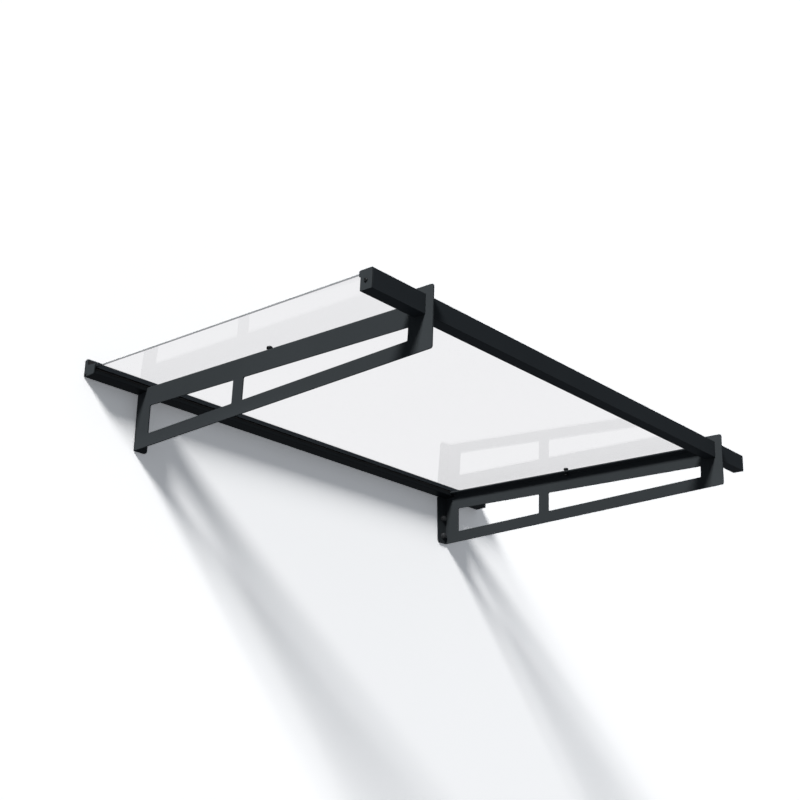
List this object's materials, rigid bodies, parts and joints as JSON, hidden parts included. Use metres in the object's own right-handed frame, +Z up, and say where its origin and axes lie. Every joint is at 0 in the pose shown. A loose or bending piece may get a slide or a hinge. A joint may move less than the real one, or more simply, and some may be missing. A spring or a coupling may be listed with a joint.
{
  "type": "door awning",
  "caption": "Door awning: a clear flat roof sheet between a hooded wall profile and a hollow front bar, carried by folded bracket arms with long windows.",
  "frame": {"origin": "on the wall profile's flat back and the plane of the wall, at the middle of its length and 20 mm above its lower edge", "axes": "+Y into the wall, +X to the right of someone who faces the wall, +Z up; the roof reaches out along -Y"},
  "size_m": [1.4058, 0.9579, 0.1777],
  "materials": {
    "anthracite_arm": "anthracite powder coat on folded sheet",
    "anthracite_profile": "anthracite powder coat on extruded aluminium",
    "cap_plastic": "anthracite moulded plastic",
    "clear_panel": "clear solid acrylic sheet, polished",
    "black_rubber": "black weather rubber",
    "black_screw": "black-coated steel"
  },
  "bodies": {
    "root": {"wall_profile": "anthracite_profile", "wall_seal": "black_rubber", "rear_lower_gasket": "black_rubber", "rear_upper_gasket": "black_rubber", "left_hood_plug": "black_rubber", "right_hood_plug": "black_rubber", "left_profile_cap": "cap_plastic", "right_profile_cap": "cap_plastic", "left_profile_cap_screw": "black_screw", "right_profile_cap_screw": "black_screw", "profile_wall_screw_1": "black_screw", "profile_wall_screw_2": "black_screw", "profile_wall_screw_3": "black_screw", "profile_wall_screw_4": "black_screw", "profile_washer_1": "black_screw", "profile_washer_2": "black_screw", "profile_washer_3": "black_screw", "profile_washer_4": "black_screw", "roof_panel": "clear_panel", "front_bar": "anthracite_profile", "front_lower_gasket": "black_rubber", "front_upper_gasket": "black_rubber", "left_bar_cap": "cap_plastic", "right_bar_cap": "cap_plastic", "left_bar_cap_screw": "black_screw", "right_bar_cap_screw": "black_screw", "left_arm": "anthracite_arm", "right_arm": "anthracite_arm", "left_arm_wall_screw_lower": "black_screw", "left_arm_wall_screw_upper": "black_screw", "right_arm_wall_screw_lower": "black_screw", "right_arm_wall_screw_upper": "black_screw", "left_arm_washer_lower": "black_screw", "left_arm_washer_upper": "black_screw", "right_arm_washer_lower": "black_screw", "right_arm_washer_upper": "black_screw", "left_panel_bolt": "black_screw", "right_panel_bolt": "black_screw", "left_bolt_nut": "black_screw", "right_bolt_nut": "black_screw", "left_bolt_washer": "black_screw", "right_bolt_washer": "black_screw", "left_bolt_seal": "black_rubber", "right_bolt_seal": "black_rubber", "left_panel_spacer": "black_rubber", "right_panel_spacer": "black_rubber"}
  },
  "joints": []
}
